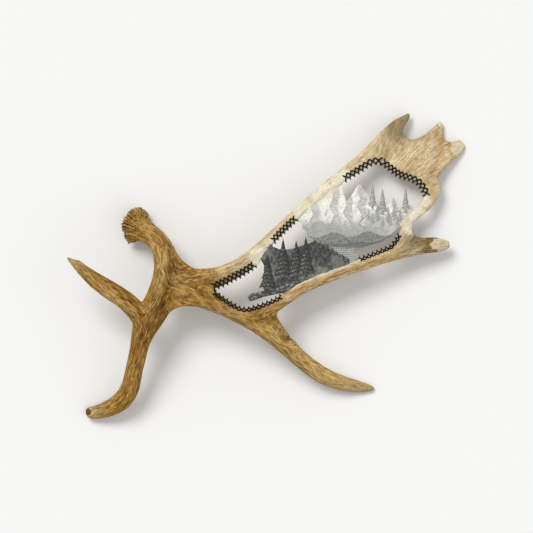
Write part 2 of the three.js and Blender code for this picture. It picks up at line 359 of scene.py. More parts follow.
# teeth round the rim, each with a ridge that runs down the flare to the beam, and small pearls among them
def addPearls():
    centre = Vector(burr["centre"])
    parts = []

    def pearl(angle, radius, up, size, length, lean):
        outward = burrAcross * math.cos(angle) + burrOther * math.sin(angle)
        along = (burrAxis * math.cos(lean) - outward * math.sin(lean)).normalized()
        sideways = along.cross(outward).normalized()
        place = centre + outward * radius + burrAxis * up
        bpy.ops.mesh.primitive_ico_sphere_add(subdivisions=2, radius=1)
        piece = bpy.context.view_layer.objects.active
        turn = Matrix((sideways, along.cross(sideways), along)).transposed().to_4x4()
        size = Matrix.Diagonal((size * mm, size * mm, length * mm, 1))
        piece.data.transform(Matrix.Translation(place * mm) @ turn @ size)
        parts.append(piece)

    draw = burrDraw
    for i, angle in enumerate(toothAngles):
        size = draw.uniform(*burr["toothSize"])
        rim = burr["rimRadius"] + draw.uniform(-2.5, 2.3)
        pearl(angle, rim, draw.uniform(-1.6, 1.8), size, size * 1.5, 0.9)
        pearl(angle, 31, 5, size * 0.95, 7.5, 0.88)
        if i % 2 == 0 or draw.random() < 0.4:
            pearl(angle + draw.uniform(-0.05, 0.05), 25.6, 12, size * 0.95, draw.uniform(7, 12), 0.5)
        if i % 3 == 0:
            pearl(angle + draw.uniform(-0.1, 0.1), 22, 24, size * 0.8, draw.uniform(8, 14), 0.15)
    for i in range(burr["pearls"]):
        up = draw.uniform(1, 22)
        size = draw.uniform(1.3, 2.2)
        radius = 36 - 0.72 * up + draw.uniform(-1, 0.8)
        pearl(draw.uniform(0, math.tau), radius, up, size, size * draw.uniform(1.2, 2.5), 0.7)
    return joined(parts)


def boneBody():
    body = copyOfNodes(bone["nodes"], "antler_bone")
    cutOpening(body)
    with editing():
        bpy.ops.mesh.select_all(action="SELECT")
        bpy.ops.transform.shrink_fatten(value=bone["swell"] * mm)
    body = joined([body, addPearls()])
    applyModifier(body, "REMESH", mode="VOXEL", voxel_size=bone["voxel"] * mm, use_smooth_shade=True)
    return body


body = boneBody()
print("bone remeshed:", len(body.data.vertices), "points")

# the way the bone grew: paths from the burr to each point

trunk = [
    (-273, 87, 22), (-263, 82, 30), (-250, 75, 40), (-236, 66, 52), (-218, 52, 67), (-204, 28, 80),
    (-196, -4, 89),
]


def onPalm(*places):
    return [(x, y, float(lift(np.array(x), np.array(y)))) for x, y in places]


lowerBrow = trunk + [
    (-199, -38, 90), (-212, -70, 91), (-229, -99, 91), (-242, -125, 88), (-250, -152, 83), (-256, -180, 76),
    (-263, -212, 64), (-270, -242, 50), (-286, -268, 36), (-314, -284, 24), (-340, -291, 13.5),
    (-364, -293, 10),
]
upperBrow = [
    (-262, -206, 66), (-252, -168, 80), (-244, -130, 88), (-253, -95, 94), (-276, -70, 101), (-308, -48, 107),
    (-338, -28, 112), (-364, -7, 116), (-398, 21, 119),
]
bez = trunk + [
    (-183, -30, 89), (-150, -46, 88), (-106, -67, 86), (-68, -90, 84), (-28, -110, 81), (8, -132, 75),
    (40, -158, 65), (70, -186, 52), (104, -211, 36), (142, -229, 21), (176, -238, 11), (222, -244, 5),
]
upperBand = trunk + onPalm((-176, -20), (-146, -24), (-116, -20), (-84, -12), (-52, 4), (-24, 27), (16, 62),
                           (56, 98), (96, 134), (136, 168), (176, 201), (216, 237), (250, 271), (288, 306))
middlePoint = upperBand[:17] + onPalm((176, 196), (212, 220), (252, 236), (300, 250), (330, 265), (356, 290))
farPoint = upperBand[:16] + onPalm((140, 160), (184, 190), (232, 208), (280, 214), (330, 224), (400, 246))
lowerBand = bez[:11] + onPalm((-34, -94), (4, -80), (40, -62), (68, -45), (108, -28), (148, -12), (188, 2),
                              (228, 16), (268, 28), (304, 39), (336, 42), (370, 44))
outerRim = lowerBand[:19] + onPalm((268, 38), (292, 66), (306, 98), (326, 122), (334, 150), (348, 190),
                                   (384, 232))

growthStep = 3
growth = {
    "lower brow": (lowerBrow, None),
    "upper brow": (upperBrow, "lower brow"),
    "bez": (bez, None),
    "upper band": (upperBand, None),
    "middle point": (middlePoint, None),
    "far point": (farPoint, None),
    "lower band": (lowerBand, None),
    "outer rim": (outerRim, None),
}


# samples each path and carries a frame along it without twist. A side path starts from its parent's frame
def growthFrames():
    made = {}
    for name, (points, parent) in growth.items():
        line = smoothCurve(points, growthStep)
        ahead = unit(np.gradient(line, axis=0))
        run = np.arange(len(line)) * float(growthStep)
        last, turned = np.cross((0.9, 0.3, 0.3), ahead[0]), 1
        if parent:
            base = made[parent]
            meet = np.argmin(((base["line"] - line[0]) ** 2).sum(1))
            last, turned = base["across"][meet], -1
            run = base["run"][meet] - run
        across = carried(ahead, last)
        up = np.cross(ahead, across) * turned
        made[name] = {"line": line, "ahead": ahead * turned, "across": across, "up": up, "run": run}
    return made


growthPaths = growthFrames()

# past the windows the palm's fibres spread from one centre to its points
fan = {"centre": (160, 87), "meets": (222, 235), "from": (190, 245), "above": (118, 165)}


def fanSet(spots):
    path = growthPaths["upper band"]
    meet = np.argmin(((path["line"][:, :2] - np.array(fan["meets"])) ** 2).sum(1))
    centre = np.array(fan["centre"])
    start = path["line"][meet, :2] - centre
    reach = np.hypot(*start)
    off = spots[:, :2] - centre
    radius = np.hypot(*off.T)
    turn = np.arctan2(off[:, 1], off[:, 0]) - math.atan2(start[1], start[0])
    tangent = np.array([-start[1], start[0]]) / reach
    across, up = path["across"][meet], path["up"][meet]
    aside = turn * reach
    height = spots[:, 2] - lift(spots[:, 0], spots[:, 1])
    fanned = np.column_stack([
        path["run"][meet] + radius - reach,
        aside * (tangent @ across[:2]) + height * across[2],
        aside * (tangent @ up[:2]) + height * up[2],
    ])
    return fanned, ease(*fan["from"], spots[:, 0]) * ease(*fan["above"], spots[:, 1])


# for each path, the place along it and the two places across it, and how much the path counts at each spot
def growthSets(spots):
    sets = []
    for path in growthPaths.values():
        line, ahead, across, up, run = (path[key] for key in ("line", "ahead", "across", "up", "run"))
        near = np.empty(len(spots), int)
        square = (line**2).sum(1)
        for i in range(0, len(spots), 40000):
            block = spots[i : i + 40000]
            near[i : i + 40000] = np.argmin(square - 2 * block @ line.T, axis=1)
        off = spots - line[near]
        t = (off * ahead[near]).sum(1)
        off = off - t[:, None] * ahead[near]
        gap = np.linalg.norm(spots - line[near], axis=1)
        row = np.column_stack([run[near] + t, (off * across[near]).sum(1), (off * up[near]).sum(1)])
        sets.append((row, 1 / (gap + 3) ** 6))
    fanned, share = fanSet(spots)
    total = sum(weight for row, weight in sets)
    return [(row, weight / total * (1 - share)) for row, weight in sets] + [(fanned, share)]


# a random value drawn out along the growth: each path has its own, and they fade over where paths meet
def grown(sets, scale, seed, detail=1, shape=None):
    out = np.zeros(len(sets[0][1]))
    for row, weight in sets:
        here = np.flatnonzero(weight > 0.02)
        value = wander(row[here], scale, seed, detail)
        out[here] += weight[here] * (shape(value) if shape else value)
    return out


# 1 where the growth runs evenly, 0 where neighbouring paths disagree
def steadiness(spots, flow, pairs):
    a, b = pairs[:, 0], pairs[:, 1]
    gap = np.maximum(np.linalg.norm(spots[a] - spots[b], axis=1), 0.3)
    stretch = np.linalg.norm(flow[a] - flow[b], axis=1) / gap
    worst = np.zeros(len(spots))
    np.maximum.at(worst, a, stretch)
    np.maximum.at(worst, b, stretch)
    return ease(2.8, 1.6, soften(worst, pairs, 14))


# rounds the facets off, then gives the limbs back the girth that this took
def smoothBody(body):
    mesh = body.data
    pairs = pairsOf(mesh)
    first = spotsOf(mesh)
    # the plain shape has a step where the web at the bez tine's crotch ends. It comes down to the tine
    web = bone["webCorner"]
    step = bell(np.linalg.norm(first[:, :2] - web["at"], axis=1) / web["reach"])
    first += (step * ease(*web["above"], first[:, 2]))[:, None] * web["move"]
    x, y = first[:, 0], first[:, 1]
    fine = ease(58, 42, np.linalg.norm(first - np.array(burr["centre"]), axis=1))
    fine = np.maximum(fine, 0.75 * ease(12, 2, gapTo(first, openingEdge)) * (x > -112))
    for tip in bone["tips"]:
        fine = np.maximum(fine, 0.7 * ease(26, 8, np.hypot(x - tip[0], y - tip[1])))
    share = mix(0.5, 0.03, fine)
    spots = soften(first, pairs, bone["smoothing"], share)
    moveTo(mesh, spots)
    lost = ((first - spots) * normalsOf(mesh)).sum(1)
    lost = soften(lost, pairs, bone["girthSmoothing"])
    spots = spots + normalsOf(mesh) * (lost * (1 - fine))[:, None]
    moveTo(mesh, spots)
    return pairs


pairs = smoothBody(body)
print("bone smoothed")


# brings the palm's blade onto its middle surface, which the facets only meet at their corners
def evenPalm(body):
    mesh = body.data
    spots = spotsOf(mesh)
    tree = treeOf(mesh)
    shift = np.zeros(len(spots))
    for i in np.flatnonzero((spots[:, 0] > 120) & (spots[:, 1] > 20)):
        x, y = spots[i, :2]
        top = tree.ray_cast(Vector((x, y, 200)), Vector((0, 0, -1)))[0]
        under = tree.ray_cast(Vector((x, y, -50)), Vector((0, 0, 1)))[0]
        if top and under:
            shift[i] = lift(x, y) - (top.z + under.z) / 2
    band = gapTo(spots, [(0, -92), (108, -28), (228, 16), (304, 39), (365, 44)])
    hold = ease(12, 30, band) * ease(120, 160, spots[:, 0])
    shift = soften(np.clip(shift, -4, 4) * hold, pairs, 12)
    spots[:, 2] += shift
    moveTo(mesh, spots)
    print("palm evened, largest shift", round(float(np.abs(shift).max()), 2))


evenPalm(body)

# broad modelling of the top: points of a stroke in plan, half width, and how far it lifts or sinks
strokes = [
    ([(-184, 6), (-189, -30), (-196, -62), (-204, -92), (-216, -122)], 9, -6.5),
    ([(-150, -8), (-166, -34), (-178, -60)], 8, -2.2),
    ([(-292, -54), (-270, -64), (-254, -80), (-246, -100), (-243, -128), (-246, -158)], 4.5, -4.6),
    ([(-234, -84), (-238, -112), (-240, -140)], 6, 1.8),
    ([(-214, 22), (-212, -10), (-216, -44), (-226, -72)], 9, 2.2),
    ([(-176, 0), (-160, -22), (-128, -34)], 11, 1.4),
    ([(-152, -66), (-112, -84), (-60, -106), (-16, -124)], 7, 1.6),
    ([(-128, -52), (-100, -62), (-70, -80)], 4.5, -2.0),
    ([(-14, -104), (6, -116), (30, -133)], 6, -1.8),
    ([(300, 24), (330, 34), (352, 40)], 5, 1.2),
]
# last small moves of the outline: place, reach and move
nudges = [
    (-290, 61, 14, 7.5, 3), (-262, 46, 10, 0.5, -5), (-233, 103, 12, 3.5, 2), (-208, 34, 40, 1.6, 0.4),
    (130, -222, 50, -0.8, -1.6), (34, -100, 24, -1.8, 0.6), (278, 258, 14, -1, -1.5),
    (358, 256, 10, -1.5, -1.5), (334, 56, 22, 0, 1.4), (-368, 10, 9, 0.8, 2.2), (55, -149, 13, 1.1, 1.3),
    (38, -122, 12, -1.4, -0.4), (44, -137, 8, 1.9, 1.1),
]


# lumps, grooves and streaks along the growth, the strokes above and the gaps between the burr's teeth
def sculpt(body):
    mesh = body.data
    spots = spotsOf(mesh)
    facing = normalsOf(mesh)
    sets = growthSets(spots)
    flow = soften(sum(row * weight[:, None] for row, weight in sets), pairs, 40)
    for points, width, rise in strokes:
        d, along = strokeDistance(spots, points)[:2]
        ends = ease(0, 0.16, along) * ease(1, 0.84, along)
        spots[:, 2] += rise * bell(d / width) * ends * ease(0, 0.5, facing[:, 2]) * (spots[:, 2] > 25)
    lump = grown(sets, bone["lump"], 1, 2) * bone["lumpHeight"]
    moveTo(mesh, spots)
    blur = unit(soften(normalsOf(mesh), pairs, 10))
    rim = roundBurr(spots)
    radius, up, between, onFlare = rim
    groove, fissure = (
        grown(sets, bone[key], seed, 2, lambda value: 1 - np.clip(np.abs(value) * narrow, 0, 1))
        for key, seed, narrow in (("groove", 2, 5.5), ("fissure", 6, 7))
    )
    streak = grown(sets, bone["streak"], 3, 2)
    patch = grown(sets, bone["patch"], 5, 2)
    steady = steadiness(spots, flow, pairs)
    groove, fissure = groove * mix(0.3, 1, steady), fissure * mix(0.3, 1, steady)
    lot = 0.5 + 0.5 * np.clip(wander(spots, (70, 70, 70), 8) * 2.5, -1, 1)
    depth = np.maximum(groove * mix(0.35, 1, lot), 0.75 * fissure * mix(1, 0.3, lot)) * (1 - 0.8 * onFlare)
    push = lump * (1 - onFlare) - bone["grooveDepth"] * depth + 0.22 * streak - burr["gapDepth"] * between
    # the rough cast face
    castFace = ease(-5, -9, up) * ease(30, 24, radius)
    push += castFace * wander(spots, (6, 6, 6), 14, 3) * 1.3
    spots = spots + blur * push[:, None]
    for x, y, reach, moveX, moveY in nudges:
        share = bell(np.hypot(spots[:, 0] - x, spots[:, 1] - y) / reach)
        spots[:, :2] += share[:, None] * (moveX, moveY)
    spots[:, 2] = np.maximum(spots[:, 2], 0.05)
    moveTo(mesh, spots)
    return {"flow": flow, "depth": depth, "streak": streak, "patch": patch, "steady": steady, "rim": rim}


grain = sculpt(body)
print("bone sculpted")

# colours of the bone, and of the shade painted on it, linear

boneColours = {
    "base": (0.40, 0.22, 0.046),
    "dark": (0.075, 0.034, 0.006),
    # hollow: the dark core of a cut end, and painted shade in the hollows and creases
    "hollow": (0.160, 0.070, 0.005),
    "olive": (0.15, 0.105, 0.040),
    "brown": (0.27, 0.135, 0.021),
    "pale": (0.62, 0.44, 0.165),
    "tip": (0.49, 0.375, 0.18),
    "palm": (0.75, 0.635, 0.415),
    "sanded": (0.86, 0.81, 0.67),
    "cream": (0.71, 0.61, 0.43),
    "ochre": (0.42, 0.20, 0.045),
    "grey": (0.22, 0.172, 0.085),
    "cast": (0.40, 0.30, 0.16),
}
# stained or worn stretches, and painted shade along the hub's hollow and creases: colour, points in plan,
# half width, share
stainsAndShade = [
    # painted shade: the hollow colour down the hub's hollow, a dark line in the fork's crease, and the hollow
    # colour down the lower part of the hollow
    ("hollow", [(-184, 6), (-189, -30), (-196, -62), (-204, -92), (-216, -126)], 12, 1.0),
    ("dark", [(-292, -54), (-270, -64), (-254, -80), (-246, -100), (-243, -128), (-246, -158)], 3.5, 0.75),
    ("hollow", [(-206, -70), (-216, -96), (-226, -120), (-238, -146)], 15, 1.0),
    ("olive", [(-206, 18), (-210, -18), (-217, -55), (-229, -90), (-236, -124)], 5, 0.6),
    ("olive", [(-198, 50), (-184, 6), (-162, -24), (-140, -46)], 3.5, 0.7),
    ("olive", [(-190, 40), (-172, 2), (-150, -18), (-124, -26)], 3, 0.45),
    ("pale", [(-186, -22), (-172, -48), (-150, -62)], 9, 0.4),
    ("brown", [(-214, -96), (-232, -126), (-246, -166), (-256, -200), (-268, -236)], 16, 0.45),
    ("brown", [(-172, -34), (-146, -50), (-118, -58)], 15, 0.6),
    # painted shade: the hollow colour in the groove before the bez tine
    ("hollow", [(-128, -52), (-100, -62), (-72, -79)], 5, 0.7),
    # painted shade: a dark brown patch in the corner where the band starts, and the hollow colour in its
    # crease
    ("brown", [(-18, -98), (8, -108), (26, -122)], 17, 1.0),
    ("hollow", [(-14, -104), (6, -116), (30, -133)], 4.5, 0.6),
    ("brown", [(-300, -40), (-270, -60), (-250, -88)], 14, 0.5),
    ("brown", [(-232, 92), (-208, 52), (-186, 14), (-150, -2)], 7, 0.5),
    ("pale", [(-236, 62), (-214, 30), (-206, -6), (-214, -40)], 9, 0.45),
    ("pale", [(-120, -82), (-60, -104), (4, -128)], 13, 0.35),
    ("pale", [(16, -134), (44, -152), (90, -194), (140, -224)], 18, 1.0),
    ("palm", [(36, -66), (100, -46), (160, -26)], 14, 0.5),
    ("palm", [(160, -26), (208, -6), (268, 10), (300, 22)], 15, 0.95),
    ("palm", [(-90, -8), (-40, 14), (16, 62), (96, 134), (176, 201)], 13, 0.6),
    ("pale", [(-250, -112), (-280, -78), (-318, -46), (-352, -18)], 6, 0.35),
    ("ochre", [(40, -54), (84, -38), (118, -26), (160, -8), (189, 1), (261, 19)], 4.5, 0.7),
    ("ochre", [(344, 262), (350, 236), (342, 214), (334, 190)], 9, 0.5),
    ("ochre", [(330, 160), (334, 138), (322, 116)], 9, 0.4),
    ("cream", [(318, 90), (326, 104), (330, 118)], 9, 0.8),
]
# ground or cut places: colour, middle, half sizes, and the colour of the border round it
groundFaces = [
    ("cream", (347, 43), (20, 13), "brown"),
    ("cream", (385, 238), (16, 19), "ochre"),
    ("cream", (352, 284), (8, 7), "grey"),
    ("hollow", (-356, -291), (7, 7), "cream"),
]


# a tone for every spot, and the function that lays a share of another colour over it
def painter(colours, first, count):
    tone = np.tile(colours[first], (count, 1))

    def lay(colour, share, rows=slice(None)):
        tone[rows] = mix(tone[rows], np.array(colours[colour]), np.clip(share, 0, 1)[:, None])

    return tone, lay


def paintBone(mesh, grain):
    spots = spotsOf(mesh)
    facing = normalsOf(mesh)
    x, y = spots[:, 0], spots[:, 1]
    tone, lay = painter(boneColours, "base", len(spots))
    upward = ease(-0.2, 0.4, facing[:, 2])
    patch, streak = grain["patch"], grain["streak"]
    lay("pale", 0.5 * ease(0.0, 0.5, patch))
    lay("brown", 0.75 * ease(0.0, 0.45, -patch))
    onPlate = ease(-120, -10, x) * ease(-96, -52, y - 0.38 * x)
    lay("palm", 0.9 * onPlate * (0.85 + 0.3 * patch))
    worn = np.zeros(len(spots))
    for tipX, tipY, reach, share in ((-394, 17, 80, 0.5), (-360, -293, 60, 0.6), (212, -243, 170, 0.9)):
        atTip = ease(reach, 0.2 * reach, np.hypot(x - tipX, y - tipY))
        lay("tip", share * atTip)
        worn = np.maximum(worn, share * atTip)
    lay("grey", 0.8 * ease(66, 24, np.hypot(x - 272, y - 290)) + ease(98, 62, np.hypot(x - 356, y - 28)))
    for colour, points, width, share in stainsAndShade:
        lay(colour, share * bell(gapTo(spots, points) / width) * upward * (0.9 + 0.35 * patch))
    # painted shade: warmer, darker ochre on the flanks as they turn away from the top, and brown on the
    # downward-facing underside
    lay("ochre", 0.5 * ease(0.55, 0.0, facing[:, 2]) * ease(-0.9, -0.1, facing[:, 2]))
    lay("brown", 0.45 * ease(-0.1, -0.7, facing[:, 2]) * (1 - 0.7 * onPlate))
    sanded = np.zeros(len(spots))
    for sx, sy, r in ((-10, 18, 30), (16, 44, 22), (76, 110, 30), (112, 144, 34), (150, 172, 30),
                      (300, 104, 28), (316, 130, 18), (286, 78, 20)):
        sanded = np.maximum(sanded, ease(r, 0.45 * r, np.hypot(x - sx, y - sy)))
    sanded = np.maximum(sanded, 0.6 * ease(9, 3, gapTo(spots, openingEdge)) * (x > 50))
    sanded *= 0.75 + 0.25 * wander(spots, (16, 16, 16), 11, 2)
    lay("sanded", sanded)
    smooth = np.clip(sanded, 0, 1)
    for colour, (fx, fy), (halfX, halfY), border in groundFaces:
        reach = np.hypot((x - fx) / halfX, (y - fy) / halfY) + 0.22 * wander(spots, (8, 8, 8), 13, 3)
        lay(border, 0.55 * bell((reach - 1.2) / 0.25) * upward)
        face = ease(1.1, 0.86, reach) * upward
        lay(colour, face)
        smooth = np.maximum(smooth, 0.7 * face)
    calm = (1 - 0.8 * smooth) * (1 - 0.45 * onPlate) * (1 - 0.5 * worn)
    lay("dark", 0.62 * grain["depth"] * calm)
    lay("pale", 0.4 * ease(0.05, 0.45, streak) * calm)
    lay("dark", 0.42 * ease(0.08, 0.45, -streak) * calm)
    radius, up, between, onFlare = grain["rim"]
    castFace = ease(-3, -8, up) * ease(32, 26, radius)
    lay("brown", 0.3 * onFlare)
    lay("pale", 0.55 * onFlare * ease(-0.1, 0.4, wander(spots, (5, 5, 5), 15, 2)))
    lay("cream", 0.75 * onFlare * ease(31, 35, radius) * (1 - between) * ease(-0.3, 0.3, patch))
    # painted shade in the gaps between the burr's teeth
    lay("dark", 0.92 * between)
    lay("cast", 0.85 * castFace)
    lay("dark", 0.6 * castFace * ease(0.05, 0.5, wander(spots, (4, 4, 4), 16, 2)))
    return tone, calm * mix(0.25, 1, grain["steady"])


def store(mesh, name, kind, key, values):
    layer = mesh.attributes.new(name, kind, "POINT")
    layer.data.foreach_set(key, values.ravel())


def storeTone(mesh, tone):
    store(mesh, "tone", "FLOAT_COLOR", "color", np.column_stack([tone, np.ones(len(tone))]))


tone, calm = paintBone(body.data, grain)
storeTone(body.data, tone)
store(body.data, "flow", "FLOAT_VECTOR", "vector", grain["flow"] / 1000)
store(body.data, "normals", "FLOAT_VECTOR", "vector", normalsOf(body.data))
store(body.data, "coarse", "FLOAT", "value", calm)

# materials


def newMaterial(name, roughness=0.5, specular=0.5):
    material = bpy.data.materials.new(name)
    material.use_nodes = True
    shader = material.node_tree.nodes["Principled BSDF"]
    shader.inputs["Roughness"].default_value = roughness
    shader.inputs["Specular IOR Level"].default_value = specular
    return material, material.node_tree, shader


# a value that is a socket is linked to the input, and any other is set on it
def feed(tree, socket, value):
    if isinstance(value, bpy.types.NodeSocket):
        tree.links.new(value, socket)
    else:
        socket.default_value = value


def node(tree, kind, **inputs):
    made = tree.nodes.new(kind)
    for key, value in inputs.items():
        if key in made.inputs:
            feed(tree, made.inputs[key], value)
        else:
            setattr(made, key, value)
    return made


def attribute(tree, name):
    return node(tree, "ShaderNodeAttribute", attribute_name=name).outputs


def noiseNode(tree, vector, scale, detail, roughness, turn=(0, 0, 0)):
    place = node(tree, "ShaderNodeMapping", Vector=vector, Scale=scale, Rotation=turn).outputs["Vector"]
    made = node(tree, "ShaderNodeTexNoise", Vector=place, Scale=1.0, Detail=detail, Roughness=roughness)
    return made.outputs["Fac"]


def mixNode(tree, share, below, above, blend="MIX"):
    made = node(tree, "ShaderNodeMix", data_type="RGBA", blend_type=blend)
    for place, value in ((0, share), (6, below), (7, above)):
        feed(tree, made.inputs[place], value)
    return made.outputs[2]


def addBump(tree, shader, height, strength, distance):
    bump = node(tree, "ShaderNodeBump", Height=height, Strength=strength, Distance=distance)
    tree.links.new(bump.outputs["Normal"], shader.inputs["Normal"])


# each grain's scale, and its colours with their places. The speckle isn't drawn out along the growth
boneGrain = {
    "speckle": (
        (430, 430, 430),
        ((0.32, (0.66, 0.62, 0.55)), (0.5, (1.0, 1.0, 0.99)), (0.68, (1.2, 1.2, 1.2))),
    ),
    "fibres": (
        (90, 660, 660),
        ((0.30, (0.50, 0.44, 0.36)), (0.46, (0.9, 0.88, 0.84)), (0.68, (1.25, 1.25, 1.24))),
    ),
    "flecks": (
        (62, 400, 400),
        ((0.34, (0.42, 0.34, 0.24)), (0.46, (0.94, 0.92, 0.88)), (0.64, (1.3, 1.3, 1.29))),
    ),
}


# dark and pale streaks along the growth, over the tones of the bone
def boneMaterial():
    material, tree, shader = newMaterial("antler_bone", specular=0.14)
    place = node(tree, "ShaderNodeTexCoord").outputs["Object"]
    flow, coarse = attribute(tree, "flow")["Vector"], attribute(tree, "coarse")["Fac"]
    colour = attribute(tree, "tone")["Color"]
    for name, (scale, stops) in boneGrain.items():
        speckled = name == "speckle"
        grain = noiseNode(tree, place if speckled else flow, scale, 4.0, 0.6)
        ramp = node(tree, "ShaderNodeValToRGB", Fac=grain)
        ramp.color_ramp.elements.new(stops[1][0])
        for stop, (at, tint) in zip(ramp.color_ramp.elements, stops):
            stop.position = at
            stop.color = (*tint, 1)
        colour = mixNode(tree, 0.7 if speckled else coarse, colour, ramp.outputs["Color"], "MULTIPLY")
    tree.links.new(colour, shader.inputs["Base Color"])
    rough = node(tree, "ShaderNodeMapRange", Value=grain, **{"To Min": 0.72, "To Max": 0.52})
    tree.links.new(rough.outputs["Result"], shader.inputs["Roughness"])
    addBump(tree, shader, grain, 0.55, 0.0008)
    return material


# the carved scene: spruces on a rocky shore, a wooded ridge, a lake, low hills and snow peaks

carving = {
    "step": 0.95,
    "spanX": (-42, 336),
    "spanY": (-74, 182),
    "edgeHalf": 1.6,
    "roundOver": 2.4,
    "anchor": 6,
    # how far each line of the peaks rises, and how wide it is
    "crest": (3.0, 19),
    "spur": (2.0, 9),
    "back": (1.5, 7),
    "halves": {"mountains": 3.5, "ridge": 4.3, "shore": 5.2, "spruce": 5.0, "slim": 4.6},
}
mountains = [
    (60, 100), (62, 91), (71, 87), (73, 76), (82, 70), (83, 60), (93, 55), (98, 44), (92, -26), (130, -10),
    (176, 6), (186, 20), (174, 32), (200, 40), (226, 48), (248, 60), (264, 76), (300, 92), (330, 118),
    (322, 140), (304, 126), (290, 119), (276, 127), (264, 113), (254, 136), (240, 120), (227, 118),
    (218, 126), (208, 134), (196, 152), (186, 168), (174, 148), (162, 130), (155, 146), (150, 176),
    (104, 140),
]
ridge = [
    (-2, -52), (-8, -36), (-3, -18), (-4, 2), (-12, 16), (10, 50), (14, 38), (34, 32), (56, 36), (78, 42),
    (96, 50), (108, 43), (122, 36), (136, 24), (150, 17), (166, 6), (150, -6), (112, -20), (90, -32),
    (44, -54),
]
# a snowy knoll in front of the far peaks, where the slim spruces stand
knoll = [
    (186, 86), (200, 99), (212, 113), (224, 107), (234, 101), (246, 103), (262, 108), (278, 105), (292, 103),
    (306, 110), (318, 117), (332, 120), (340, 100), (280, 60), (220, 60),
]
grove = [
    (204, 90, 112, 5), (222, 90, 122, 6), (243, 88, 118, 6), (255, 92, 123, 6.5), (267, 88, 113, 5.5),
    (290, 92, 120, 6.5), (300, 96, 117, 5), (311, 104, 127, 5.5), (247, 82, 100, 5), (232, 80, 98, 4.5),
    (212, 84, 104, 5), (281, 84, 102, 5), (262, 78, 97, 4.5),
]
shoreTop = [(98, -30), (66, -28), (20, -42), (-10, -50), (-30, -54)]
shoreFoot = [(-37, -62), (-30, -69), (-8, -62), (22, -55), (40, -50), (60, -38), (98, -30)]
spruces = [(3, -54, 22, 17), (34, -30, 56, 17), (60, -26, 52, 16), (79, -20, 60, 16)]
slimSpruces = [(212, 116, 166, 8), (232, 104, 156, 9), (278, 108, 158, 8)]
boughTiers = 4
# crests of the peaks, from each summit down
crests = [
    [(88, 122), (94, 104), (88, 90), (96, 74), (92, 62)],
    [(128, 158), (134, 138), (127, 120), (136, 103), (131, 88)],
    [(186, 168), (182, 150), (188, 134), (182, 118), (191, 102), (187, 88)],
    [(254, 136), (250, 124), (257, 112), (251, 100), (258, 88)],
    [(276, 127), (274, 116), (281, 106), (277, 96)],
    [(302, 124), (300, 114), (307, 106), (304, 98)],
    [(158, 134), (160, 120), (154, 108), (160, 96)],
    [(222, 122), (219, 110), (225, 99), (221, 88)],
]


# tiers of drooping boughs that widen down to a short trunk
def spruceOutline(x, foot, top, halfWidth):
    crownFoot = foot + 0.14 * (top - foot)
    tier = (top - crownFoot) / boughTiers
    trunk = 0.18 * halfWidth
    side = []
    for i in range(1, boughTiers + 1):
        reach = halfWidth * i / boughTiers
        side.append((reach, top - i * tier))
        side.append((0.62 * reach if i < boughTiers else trunk, top - i * tier + 0.25 * tier))
    side.append((trunk, foot))
    return [(x, top)] + [(x + r, y) for r, y in side] + [(x - r, y) for r, y in reversed(side)]


# distance to an outline in plan, positive inside it
def depthInside(spots, outline):
    ring = np.array(outline + [outline[0]], float)
    gap = gapTo(spots, ring)
    inside = np.zeros(len(spots), bool)
    x, y = spots[:, 0], spots[:, 1]
    for (x0, y0), (x1, y1) in zip(ring[:-1], ring[1:]):
        if y0 != y1:
            crosses = ((y0 > y) != (y1 > y)) & (x < (x1 - x0) * (y - y0) / (y1 - y0) + x0)
            inside ^= crosses
    return np.where(inside, gap, -gap)


# how deep each spot lies inside each layer of the scene, from the back to the front
def sceneLayers(spots):
    shore = [tuple(p) for p in np.vstack([smoothCurve(shoreTop, 4), smoothCurve(shoreFoot, 4)[:-1]])]
    ragged = spots[:, :2] + 0.9 * np.column_stack(
        [wander(spots, (7, 7, 7), 21, 2), wander(spots, (7, 7, 7), 22, 2)]
    )
    layers = {
        "mountains": depthInside(ragged, mountains),
        "ridge": depthInside(ragged, ridge),
        "shore": depthInside(ragged, shore),
        "knoll": depthInside(ragged, knoll),
    }
    for kind, trees in (("spruce", spruces), ("slim", slimSpruces)):
        for i, tree in enumerate(trees):
            layers[kind, i] = depthInside(spots, spruceOutline(*tree))
    return layers


# depth inside the whole scene, ended a little way into the bone round the opening
def trimmed(spots):
    layers = sceneLayers(spots)
    whole = np.max([depth for key, depth in layers.items() if key != "knoll"], axis=0)
    return np.minimum(whole, depthInside(spots, openingRing) + carving["anchor"]), layers


